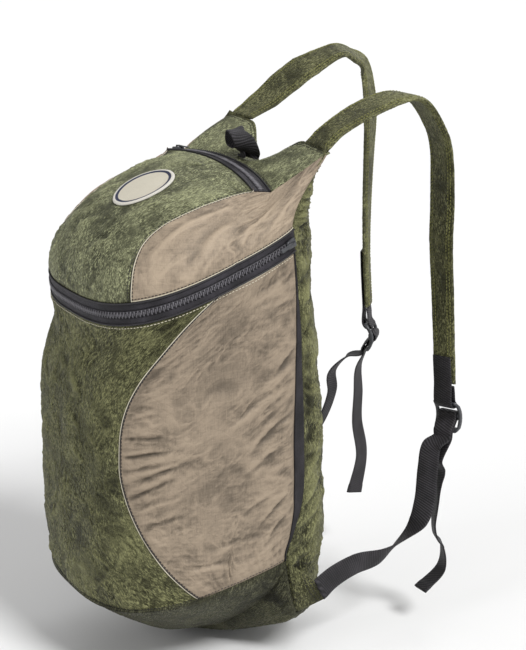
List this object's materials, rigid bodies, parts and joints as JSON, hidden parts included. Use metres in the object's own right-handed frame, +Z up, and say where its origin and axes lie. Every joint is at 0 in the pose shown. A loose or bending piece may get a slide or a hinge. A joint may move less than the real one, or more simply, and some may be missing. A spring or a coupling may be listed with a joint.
{
  "type": "packable backpack",
  "caption": "Light packable day pack of crinkled nylon, stuffed full, with a zipped lid and front pocket, thin shoulder straps and webbing adjusters.",
  "frame": {"origin": "midway between the two shoulder straps, at the height and depth where the shoulders carry them", "axes": "+X to the wearer's right, +Y from the pack towards the wearer's back, +Z up"},
  "size_m": [0.257, 0.3806, 0.515],
  "materials": {
    "olive_nylon": "dark olive parachute nylon, finely crinkled, with a silky sheen",
    "lid_nylon": "olive parachute nylon, finely crinkled, with a silky sheen",
    "taupe_nylon": "taupe ripstop nylon with soft creases",
    "black_tape": "black woven binding tape",
    "zip_tape": "charcoal woven zip tape",
    "zip_coil": "charcoal nylon coil",
    "zip_slider": "dark grey coated slider and pull",
    "black_webbing": "black ribbed webbing",
    "buckle_plastic": "dark grey moulded plastic, slightly glossy",
    "patch_cloth": "off-white woven patch with a navy ring"
  },
  "bodies": {
    "root": {"front_panel": "olive_nylon", "base_panel": "olive_nylon", "back_panel": "olive_nylon", "wing_right": "olive_nylon", "wing_left": "olive_nylon", "strap_right": "olive_nylon", "strap_left": "olive_nylon", "lid": "lid_nylon", "yoke": "lid_nylon", "side_lower_right": "taupe_nylon", "side_lower_left": "taupe_nylon", "side_upper_right": "taupe_nylon", "side_upper_left": "taupe_nylon", "side_tape_right": "black_tape", "side_tape_left": "black_tape", "pocket_zip_tape_lower": "zip_tape", "pocket_zip_coil": "zip_coil", "pocket_zip_tape_upper": "zip_tape", "main_zip_tape_lower": "zip_tape", "main_zip_coil": "zip_coil", "main_zip_tape_upper": "zip_tape", "pocket_zip_slider": "zip_slider", "main_zip_slider": "zip_slider", "haul_loop": "black_webbing", "strap_end_right": "black_webbing", "strap_end_left": "black_webbing", "lower_webbing_right": "black_webbing", "lower_webbing_left": "black_webbing", "buckle_right": "buckle_plastic", "buckle_left": "buckle_plastic", "patch": "patch_cloth"}
  },
  "joints": []
}
